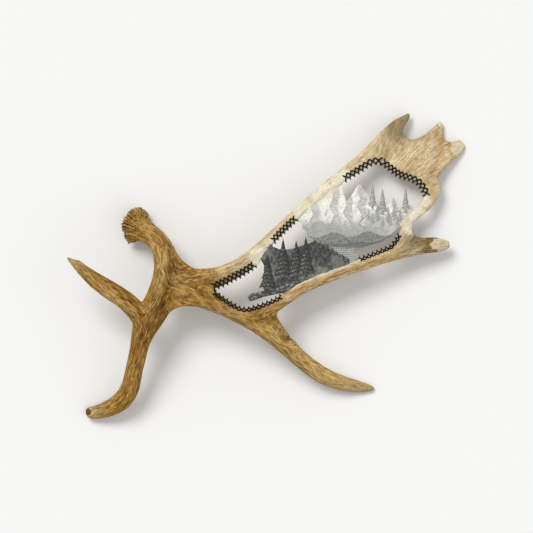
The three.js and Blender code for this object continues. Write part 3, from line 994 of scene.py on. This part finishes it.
def sceneGrid():
    step = carving["step"]
    spans = [np.arange(*carving[key], step) for key in ("spanX", "spanY")]
    gx, gy = np.meshgrid(*spans, indexing="ij")
    spots = np.column_stack([gx.ravel(), gy.ravel(), np.zeros(gx.size)])
    inside = (trimmed(spots)[0] > 0).reshape(gx.shape)
    cells = np.sum([inside[:-1, :-1], inside[1:, :-1], inside[:-1, 1:], inside[1:, 1:]], axis=0) >= 2
    # two cells that meet only at a corner get a third between them
    for turn in range(3):
        a, b, c, d = cells[:-1, :-1], cells[1:, :-1], cells[:-1, 1:], cells[1:, 1:]
        rising, falling = a & d & ~b & ~c, b & c & ~a & ~d
        b |= rising
        a |= falling
    index = np.arange(gx.size).reshape(gx.shape)
    quads = np.stack([index[:-1, :-1], index[1:, :-1], index[1:, 1:], index[:-1, 1:]], axis=-1)[cells]
    used = np.unique(quads)
    renumber = np.full(gx.size, -1)
    renumber[used] = np.arange(len(used))
    quads = renumber[quads]
    spots = spots[used]
    # the outermost row is drawn onto the outline itself
    edges = np.concatenate([quads[:, [0, 1]], quads[:, [1, 2]], quads[:, [2, 3]], quads[:, [3, 0]]])
    pairs, counts = np.unique(np.sort(edges, axis=1), axis=0, return_counts=True)
    loose = {tuple(e) for e in pairs[counts == 1]}
    walls = np.array([e for e in edges.tolist() if tuple(sorted(e)) in loose])
    rim = np.unique(walls)
    for turn in range(3):
        at = spots[rim]
        d = trimmed(at)[0]
        dx = trimmed(at + (0.2, 0, 0))[0] - d
        dy = trimmed(at + (0, 0.2, 0))[0] - d
        slope = np.column_stack([dx, dy]) / 0.2
        slope /= np.maximum(0.5, np.linalg.norm(slope, axis=1))[:, None]
        spots[rim, :2] -= np.clip(d, -1, 1)[:, None] * slope
    free = np.full(len(spots), 0.5)
    free[rim] = 0
    spots[:, :2] = soften(spots[:, :2], pairs, 6, free)
    return spots, quads, walls


# height and lit share of the peaks' crests and spurs
def peaks(spots):
    height, lit, line = np.zeros((3, len(spots)))
    draw = random.Random(12)
    lines = []
    for crest in crests:
        lines.append((crest, *carving["crest"]))
        for k, (x, y) in enumerate(crest[1:], 1):
            lean = 1 if k % 2 else -1
            reach = draw.uniform(7, 13)
            spur = [(x, y), (x + lean * reach * 0.6, y - reach * 0.7), (x + lean * reach, y - reach * 1.7)]
            back = [(x, y - 4), (x - lean * reach * 0.5, y - 4 - reach * 0.8)]
            lines += [(spur, *carving["spur"]), (back, *carving["back"])]
    for points, rise, width in lines:
        d, along, side = strokeDistance(spots, points)
        here = rise * (1 - 0.35 * along) * (1 - d / width)
        over = here > height
        height[over] = here[over]
        lit[over] = -side[over]
        line = np.maximum(line, bell(d / 0.8) * (0.6 if width > 10 else 0.35))
    return height, lit, line


carvingColours = {
    "snow": (0.87, 0.86, 0.78),
    "shadow": (0.38, 0.385, 0.35),
    "mist": (0.46, 0.475, 0.45),
    "hill": (0.13, 0.135, 0.12),
    "lake": (0.36, 0.375, 0.36),
    "char": (0.030, 0.031, 0.025),
    "slate": (0.085, 0.09, 0.082),
    "ash": (0.25, 0.26, 0.245),
    "bone": (0.76, 0.68, 0.50),
}


# relief above the plain plate, and its paint
def carveTop(spots, layers):
    x, y = spots[:, 0], spots[:, 1]
    tone, lay = painter(carvingColours, "snow", len(spots))
    half = np.full(len(spots), carving["halves"]["mountains"])
    grit = wander(spots, (5, 5, 5), 31, 3)
    wash = wander(spots, (26, 14, 20), 32, 3)
    sparkle = ease(-0.2, 0.45, wander(spots, (2.6, 2.6, 2.6), 35, 2))

    # snow peaks
    height, lit, line = peaks(spots)
    relief = height - 0.6 + 0.35 * grit
    shaded = ease(0.6, -0.6, lit + 0.9 * grit) * ease(0.0, 1.2, height)
    lay("shadow", 0.72 * shaded * (0.6 + 0.5 * sparkle))
    lay("shadow", 0.18 * ease(0.05, 0.5, wash))
    crag = wander(np.column_stack([x * 0.8 + y * 0.6, y * 0.8 - x * 0.6, 0 * x]), (3.2, 10, 5), 33, 2)
    lay("shadow", 0.45 * ease(0.15, 0.5, crag))
    lay("mist", 0.5 * ease(106, 82, y))
    lay("shadow", 0.75 * ease(94, 74, y) * ease(222, 186, x))
    lay("hill", 0.85 * line)
    # low hills before them, then the lake with its ripples
    away = x - 170
    below = 78 + 7 * np.sin(x / 15) + 3.2 * np.sin(x / 5.3 + 1) + 1.4 * np.sin(x / 1.9) - 0.08 * away - y
    hill = ease(-0.6, 0.6, below) * (x > 60)
    relief = mix(relief, 0.9 + 0.5 * grit - 0.03 * below, hill)
    lay("shadow", 0.7 * hill)
    below = 62 + 5 * np.sin(x / 11 + 2) + 2.4 * np.abs(np.sin(x / 2.1)) + 0.03 * away - y
    near = ease(-0.5, 0.5, below) * (x > 60)
    relief = mix(relief, 1.6 + 0.6 * grit - 0.05 * below, near)
    lay("ash", 0.8 * near)
    lay("hill", 0.75 * near * ease(-0.25, 0.35, wander(spots, (1.7, 5, 5), 36, 2)))
    lake = ease(-0.5, 0.5, 46 + 1.4 * np.sin(x / 9) + 0.05 * away - y) * (x > 60)
    ripple = np.sin((y + 0.9 * np.sin(x / 13) + 0.6 * grit) * 1.7)
    relief = mix(relief, -0.5 + 0.28 * ripple, lake)
    lay("lake", 0.95 * lake)
    lay("slate", 0.5 * lake * ease(0.1, 0.9, ripple) * ease(-40, 30, y))
    lay("snow", 0.4 * lake * ease(0.5, 1, -ripple))
    lay("slate", 0.7 * lake * ease(36, 44, y + 0.02 * x))

    # lays a nearer layer over what is behind it, with a dark line along its edge
    def overlap(depth, kind, rise, colour, share=1.0, shadow=0.75):
        nonlocal relief, half
        cover = ease(-0.35, 0.35, depth)
        lay("char", shadow * bell(depth / 1.4) * (depth < 0))
        half = mix(half, carving["halves"].get(kind, half), cover)
        relief = mix(relief, (rise + 1.2) * roundOver(depth / 3.2) - 1.2, cover)
        lay(colour, share * cover)
        return cover

    # a spruce carved in low relief, lit from the left. Its foot fades into the mist by haze
    def growTree(tree, tiers, rise, shades, share, scope, haze=0.0):
        tx, foot, top, halfWidth = tree
        dark, light, deep = shades
        near = np.flatnonzero((np.abs(x - tx) < halfWidth + 1.5) & (y > foot - 1.5) & (y < top + 1.5) & scope)
        if not len(near):
            return
        aside = x[near] - tx + 0.5 * grit[near]
        down = np.clip((top - y[near]) / (0.9 * (top - foot)), 0, 0.999)
        spread = np.abs(aside) / np.maximum(halfWidth * (0.2 + 0.8 * down), 0.6)
        ragged = 0.3 * np.abs(np.sin(aside * 9.5 / halfWidth + 1.7 * np.floor(down * tiers) + tx))
        tier = np.maximum(0, down * tiers - 0.55 * np.minimum(spread, 1.2) + ragged)
        bough = np.floor(tier)
        step = tier - bough
        reach = halfWidth * np.minimum(1, (bough * (1 - step) * 0.6 + (bough + 1) * step) / tiers)
        reach = np.where(y[near] < top - 0.93 * (top - foot), 0.16 * halfWidth, reach)
        depth = reach - np.abs(aside)
        cover = ease(-0.5, 0.5, depth)
        sideways = aside / np.maximum(reach, 0.8)
        glow = share * cover * ease(0.5, 0.95, step) * np.clip(0.65 - 0.55 * sideways, 0, 1)
        lay(deep, 0.7 * bell(depth / 1.3) * (depth < 0), near)
        lay(dark, cover, near)
        lay("ash", haze * cover * down**1.5, near)
        lay(light, glow * (0.15 + 0.85 * sparkle[near]), near)
        lay(deep, 0.75 * (1 - haze * down) * cover * ease(0.4, 0.0, step), near)
        shape = rise * (0.35 + 0.9 * step - 0.5 * sideways**2) + 0.2 * grit[near]
        relief[near] = mix(relief[near], shape, cover)

    snowy, dim = ("shadow", "snow", "ash"), ("char", "shadow", "char")
    everywhere = np.ones(len(spots), bool)
    # the knoll and its grove
    behindHills = hill < 0.5
    depth = np.where(behindHills, layers["knoll"], -9)
    cover = overlap(depth, "knoll", 0.9 + 0.4 * grit, "mist", 0.85, 0.6)
    lay("snow", cover * mix(0.2, 0.75, ease(7, 0.5, depth)))
    lay("shadow", 0.25 * cover * ease(0.2, 0.7, np.abs(np.sin((x + 0.9 * y) / 3.1 + grit))))
    for i, tree in enumerate(slimSpruces):
        overlap(layers["slim", i], "slim", 0.9 + 0.2 * grit, "shadow", 1.0, 0.35)
    for tree in sorted(grove, key=lambda tree: -tree[1]):
        growTree(tree, 5, 1.3, snowy, 0.9, behindHills, 0.3)
    for *tree, halfWidth in slimSpruces:
        growTree((*tree, halfWidth + 0.6), 7, 1.3, snowy, 1.0, everywhere)

    # the wooded ridge, its far trees first
    depth = layers["ridge"]
    cover = overlap(depth, "ridge", 0.6 + 0.6 * grit, "slate")
    lay("ash", 0.5 * cover * ease(-0.3, 0.5, wash))
    draw = random.Random(5)
    onRidge = depth > -6
    rowFoot = 38.0
    while rowFoot > -60:
        size = mix(15, 27, (38 - rowFoot) / 98)
        tx = -16 + draw.uniform(0, 6)
        while tx < 168:
            foot = rowFoot + draw.uniform(-4, 4) - 0.3 * max(0, tx - 90)
            tall = size * draw.uniform(0.8, 1.25)
            if tx < 100 or foot > -6 - 0.2 * (tx - 100):
                tree = (tx, foot, foot + tall, 0.3 * tall)
                growTree(tree, 6, 1.6, dim, draw.uniform(0.45, 1.0), onRidge, 0.7)
            tx += size * draw.uniform(0.4, 0.66)
        rowFoot -= size * 0.6
    lay("ash", 0.45 * cover * ease(0.0, 0.45, wash))
    lay("char", 0.5 * cover * ease(0.0, 0.4, -wash))

    # the rocky shore
    depth = layers["shore"]
    cells = np.array([noise.voronoi((px / 10, py / 6.5, 0.3))[0][:2] for px, py in spots[:, :2].tolist()])
    rock = ease(0.02, 0.5, cells[:, 1] - cells[:, 0])
    cover = overlap(depth, "shore", 1.9 * rock + 0.4 * grit, "ash")
    lay("char", 0.9 * cover * (1 - rock))
    lay("slate", 0.55 * cover * ease(-0.3, 0.5, wash))

    # the near spruces
    for i, tree in enumerate(spruces):
        overlap(layers["spruce", i], "spruce", 1.6 + 0.3 * grit, "char")
        growTree(tree, 9, 2.4, ("char", "mist", "char"), 0.7, everywhere, 0.15)
    # bone shows through the wash where the scene joins the palm
    lay("bone", 0.8 * ease(7, 0, depthInside(spots, openingRing)) * (x > 100) * (y > 20))
    lay("bone", 0.2 * ease(0.0, 0.6, wash) * ease(0.2, 0.6, tone[:, 0]))
    lay("char", 0.12 * ease(0.2, 0.8, -grit))
    return half, relief, tone


def carvedScene():
    flat, quads, walls = sceneGrid()
    depth, layers = trimmed(flat)
    half, relief, tone = carveTop(flat, layers)
    rounded = roundOver(depth / carving["roundOver"])
    middle = lift(flat[:, 0], flat[:, 1])
    edgeHalf = carving["edgeHalf"]
    lump = 0.35 * wander(flat, (14, 14, 14), 41, 2)
    top, under = flat.copy(), flat.copy()
    top[:, 2] = middle + edgeHalf + (half + relief - edgeHalf) * rounded
    under[:, 2] = middle - edgeHalf - (half - 0.3 + lump - edgeHalf) * rounded
    count = len(flat)
    faces = quads.tolist() + (quads[:, ::-1] + count).tolist()
    faces += [(b, a, a + count, b + count) for a, b in walls.tolist()]
    piece = smoothPiece("carved_scene", np.vstack([top, under]), faces)
    plain = np.tile(np.array(carvingColours["bone"]) * (0.8, 0.74, 0.66), (count, 1))
    plain *= (1 + 0.18 * wander(flat, (30, 9, 9), 42, 3))[:, None]
    storeTone(piece.data, np.vstack([tone, plain]))
    piece.data.update()
    print("scene carved:", len(faces) * 2, "triangles")
    return piece


scenePiece = carvedScene()

# the lacing: two threads that cross between a row of holes and the windows' edges

lacing = {
    "radius": 1.5,
    "pitch": 9.4,
    "sides": 8,
    "ringStep": 1.1,
    # in radii: height over the bone, sink into a hole, lap of the upper thread, and reach past the edge
    "ride": 0.75,
    "sink": 2.2,
    "lap": 1.5,
    "past": 1.2,
    # where each run starts and ends along the edge, and how far its holes are from it
    "runs": {
        "left_window_lower": (0.006, 0.143, 7),
        "lake_window": (0.31, 0.4, 6),
        "sky_window_outer": (0.49, 0.594, 12),
        "sky_window_upper": (0.596, 0.672, 12),
        "middle_window": (0.79, 0.85, 11.5),
        "left_window_upper": (0.908, 0.998, 13.5),
    },
}


edgeRing = np.arange(len(openingEdge))
smoothInto = soften(intoBone, np.column_stack([edgeRing, np.roll(edgeRing, -1)]), 40)


# a place along the opening's edge, that far out into the bone
def edgePlace(run, outward):
    run = run % edgeRun[-1]
    at, way = (
        np.array([np.interp(run, edgeRun, column) for column in rows.T]) for rows in (openingEdge, smoothInto)
    )
    return at + unit(way) * outward


# both threads of a run, as points
def sewRun(share, tree):
    start, end = share[0] * edgeRun[-1], share[1] * edgeRun[-1]
    row = share[2]
    stitches = round((end - start) / lacing["pitch"])
    pitch = (end - start) / stitches
    ride, sink, lap, past = (lacing["radius"] * lacing[key] for key in ("ride", "sink", "lap", "past"))

    # height of the bone's top (side 1) or underside (-1). Over an opening it is the last height
    def surface(place, side, last):
        x, y = place
        mid = float(lift(np.array(x), np.array(y)))
        hit = tree.ray_cast(Vector((x, y, mid + 60 * side)), Vector((0, 0, -side)), 75)[0]
        if hit:
            return hit.z
        return mid + 5 * side if last is None else last

    # from its hole, across the top to the window's edge, round it and back under to the next hole
    def stitch(k, forward):
        holeAt = start + (k if forward else k + 1) * pitch
        edgeAt = start + (k + 1 if forward else k) * pitch
        top, wrap, under = [], [], []
        z = None
        for t in np.linspace(0, 1, 9):
            place = edgePlace(holeAt + (edgeAt - holeAt) * t, row * (1 - t))
            z = surface(place, 1, z)
            over = 0 if forward else lap * bell((t - 0.5) / 0.16)
            top.append((*place, z + ride + over - sink * (t == 0)))
        z = None
        for t in np.linspace(1, 0, 6):
            place = edgePlace(edgeAt, row * (1 - t))
            z = surface(place, -1, z)
            under.append((*place, z - ride + sink * (t == 0)))
        for t in (0.2, 0.5, 0.8):
            place = edgePlace(edgeAt, -past - 0.5 * math.sin(t * math.pi))
            wrap.append((*place, mix(top[-1][2], under[0][2], t)))
        return top + wrap + under

    there = [p for k in range(stitches) for p in stitch(k, True)]
    back = [p for k in reversed(range(stitches)) for p in stitch(k, False)]
    return there, back


def threadTube(points, radius, sides):
    line = smoothCurve(points, lacing["ringStep"])
    for turn in range(2):
        line[1:-1] = 0.5 * line[1:-1] + 0.25 * (line[:-2] + line[2:])
    ahead = unit(np.gradient(line, axis=0))
    across = carried(ahead, np.cross((0.3, 0.2, 0.93), ahead[0]))
    other = np.cross(ahead, across)
    turns = [math.tau * k / sides for k in range(sides)]
    rings = [line + radius * (math.cos(a) * across + math.sin(a) * other) for a in turns]
    faces = []
    for i in range(0, (len(line) - 1) * sides, sides):
        for k in range(sides):
            n = (k + 1) % sides
            faces.append((i + k, i + n, i + sides + n, i + sides + k))
    faces.append(tuple(range(sides))[::-1])
    faces.append(tuple((len(line) - 1) * sides + k for k in range(sides)))
    return np.stack(rings, axis=1).reshape(-1, 3), faces


def threadMaterial():
    material, tree, shader = newMaterial("waxed_thread", 0.55, 0.25)
    uv = node(tree, "ShaderNodeUVMap", uv_map="thread").outputs["UV"]
    twist = node(tree, "ShaderNodeTexWave", Vector=uv, Scale=1.0, Distortion=0.6, wave_type="BANDS",
                 bands_direction="DIAGONAL").outputs["Fac"]
    tint = mixNode(tree, twist, (0.002, 0.002, 0.002, 1), (0.010, 0.0095, 0.009, 1))
    tree.links.new(tint, shader.inputs["Base Color"])
    addBump(tree, shader, twist, 0.7, 0.0004)
    return material


def sewLacing(body):
    tree = treeOf(body.data)
    finish = threadMaterial()
    sides = lacing["sides"]
    for name, share in lacing["runs"].items():
        verts, faces, uvs = [], [], []
        for points in sewRun(share, tree):
            spots, walls = threadTube(points, lacing["radius"], sides)
            base = sum(len(part) for part in verts)
            verts.append(spots)
            for face in walls:
                faces.append([i + base for i in face])
                uvs += [(i // sides * lacing["ringStep"] * 0.8, (i % sides) * 0.75) for i in face]
        piece = smoothPiece("thread_" + name, np.vstack(verts), faces)
        layer = piece.data.uv_layers.new(name="thread")
        layer.data.foreach_set("uv", np.array(uvs).ravel())
        piece.data.materials.append(finish)
        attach(piece, "root")
        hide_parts("lacing_" + name)
        print("laced", name, len(faces))


def carvingMaterial():
    material, tree, shader = newMaterial("painted_carving", 0.6, 0.3)
    place = node(tree, "ShaderNodeTexCoord").outputs["Object"]
    grain = noiseNode(tree, place, (160, 420, 300), 5.0, 0.65, (0, 0, 0.54))
    share = node(tree, "ShaderNodeMapRange", Value=grain,
                 **{"From Min": 0.3, "From Max": 0.7, "To Min": 0.8, "To Max": 1.14}).outputs["Result"]
    tone = node(tree, "ShaderNodeVectorMath", operation="SCALE", Vector=attribute(tree, "tone")["Color"],
                Scale=share).outputs["Vector"]
    tree.links.new(tone, shader.inputs["Base Color"])
    addBump(tree, shader, grain, 0.35, 0.0004)
    return material


# where the branches part, in this order: place, heading in degrees, reach ahead, to the left and to the right
forks = {
    "upper_brow_tine": ((-272, -80), 146, (180, 40, 40)),
    "lower_brow_tine": ((-250, -152), 254, (200, 60, 160)),
    "bez_tine": ((46, -164), 316, (300, 120, 80)),
    "palm_tine": ((300, 36), 2, (100, 22, 40)),
    "carved_palm": ((-124, -40), 0, (700, 700, 700)),
}
bonePieces = {
    "upper_brow_tine": "upper_brow_bone",
    "lower_brow_tine": "lower_brow_bone",
    "bez_tine": "bez_bone",
    "palm_tine": "corner_tine_bone",
    "carved_palm": "palm_bone",
    "burr_and_beam": "beam_bone",
}
cutReach = 4  # only faces this near a fork's planes are cut, mm


def forkPlace(spots, fork):
    (atX, atY), heading = fork[:2]
    turn = math.radians(heading)
    offX, offY = spots[:, 0] - atX, spots[:, 1] - atY
    return offX * math.cos(turn) + offY * math.sin(turn), offY * math.cos(turn) - offX * math.sin(turn)


def faceCentres(mesh):
    return readArray(mesh.polygons, "center", 3) / mm


# cuts the faces along each fork's planes
def scoreForks(mesh):
    for (atX, atY), heading, (length, left, right) in forks.values():
        turn = math.radians(heading)
        ahead = Vector((math.cos(turn), math.sin(turn), 0))
        aside = Vector((-math.sin(turn), math.cos(turn), 0))
        at = Vector((atX, atY, 0))
        for place, normal in ((at, ahead), (at + aside * left, aside), (at - aside * right, -aside)):
            centres = faceCentres(mesh)
            along, across = forkPlace(centres, ((atX, atY), heading))
            offX, offY = centres[:, 0] - place.x, centres[:, 1] - place.y
            near = np.abs(offX * normal.x + offY * normal.y) < cutReach
            near &= (along > -cutReach) & (along < length)
            near &= (across < left + cutReach) & (across > -right - cutReach)
            if not near.any():
                continue
            shape = bmesh.new()
            shape.from_mesh(mesh)
            shape.faces.ensure_lookup_table()
            faces = [shape.faces[i] for i in np.flatnonzero(near)]
            parts = {e for f in faces for e in f.edges} | {v for f in faces for v in f.verts}
            parts = faces + list(parts)
            bmesh.ops.bisect_plane(shape, geom=parts, dist=1e-6, plane_co=place * mm, plane_no=normal)
            shape.to_mesh(mesh)
            shape.free()


# which piece each face belongs to, as its place in bonePieces
def ownersOf(mesh):
    centres = faceCentres(mesh)
    owner = np.full(len(centres), len(forks))
    for i, fork in reversed(list(enumerate(forks.values()))):
        along, across = forkPlace(centres, fork)
        length, left, right = fork[2]
        owner[(along > 0) & (along < length) & (across < left) & (across > -right)] = i
    return owner


# parts the bone at the forks. Each piece is closed there, and its surface keeps the whole bone's normals
def splitBone(body, finish):
    mesh = body.data
    scoreForks(mesh)
    for name in bonePieces:
        mesh.materials.append(finish)
    mesh.polygons.foreach_set("material_index", ownersOf(mesh))
    makeActive(body)
    with editing():
        bpy.ops.mesh.separate(type="MATERIAL")
    nodeNames = list(bonePieces)
    for piece in list(bpy.context.selected_objects):
        mesh = piece.data
        kept = len(mesh.polygons)
        nodeName = nodeNames[np.bincount(ownersOf(mesh)).argmax()]
        makeActive(piece)
        with editing():
            bpy.ops.mesh.select_mode(type="VERT")
            bpy.ops.mesh.select_all(action="SELECT")
            bpy.ops.mesh.fill_holes(sides=0)
        mesh.materials.clear()
        mesh.materials.append(finish)
        mesh.polygons.foreach_set("material_index", [0] * len(mesh.polygons))
        corners = readArray(mesh.loops, "vertex_index", 1).astype(int)
        facing = unit(readArray(mesh.attributes["normals"].data, "vector", 3)[corners])
        for cap in mesh.polygons[kept:]:
            facing[cap.loop_start : cap.loop_start + cap.loop_total] = cap.normal
        mesh.attributes.remove(mesh.attributes["normals"])
        mesh.normals_split_custom_set(facing.tolist())
        piece.name = bonePieces[nodeName]
        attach(piece, "root")
        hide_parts(nodeName)
        print("parted", piece.name, "with", len(mesh.polygons) - kept, "caps")


scenePiece.data.materials.append(carvingMaterial())
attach(scenePiece, "root")
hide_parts("carved_palm")
sewLacing(body)
splitBone(body, boneMaterial())

# floor, lights and camera

bpy.ops.mesh.primitive_plane_add(size=12)
floor = bpy.context.view_layer.objects.active
floor.name = "floor"
floorMaterial, tree, shader = newMaterial("pale_floor", 0.9)
shader.inputs["Base Color"].default_value = (0.88, 0.88, 0.87, 1)
floor.data.materials.append(floorMaterial)

lamps = {
    "key": {"from": (-2.0, 2.9, 4.5), "angle": 26, "strength": 1.9},
    "fill": {"from": (3.2, -2.0, 4.6), "angle": 70, "strength": 0.5},
}
for name, lamp in lamps.items():
    bpy.ops.object.light_add(type="SUN", location=lamp["from"])
    light = bpy.context.view_layer.objects.active
    light.name = name + "_light"
    light.data.angle = math.radians(lamp["angle"])
    light.data.energy = lamp["strength"]
    light.rotation_euler = (-Vector(lamp["from"])).to_track_quat("-Z", "Y").to_euler()
sky = bpy.data.worlds.new("studio")
sky.use_nodes = True
skyLight = sky.node_tree.nodes["Background"]
skyLight.inputs["Color"].default_value = (1, 1, 1, 1)
skyLight.inputs["Strength"].default_value = 0.46
bpy.context.scene.world = sky

view = {"at": (0.001, -0.0005, 11.84), "lens": 400, "sensor": 36}
bpy.ops.object.camera_add(location=view["at"])
camera = bpy.context.view_layer.objects.active
camera.rotation_euler = (0, 0, 0)
camera.data.lens = view["lens"]
camera.data.sensor_width = view["sensor"]
camera.data.clip_end = 50
bpy.context.scene.camera = camera

bpy.context.scene.view_settings.view_transform = "Standard"
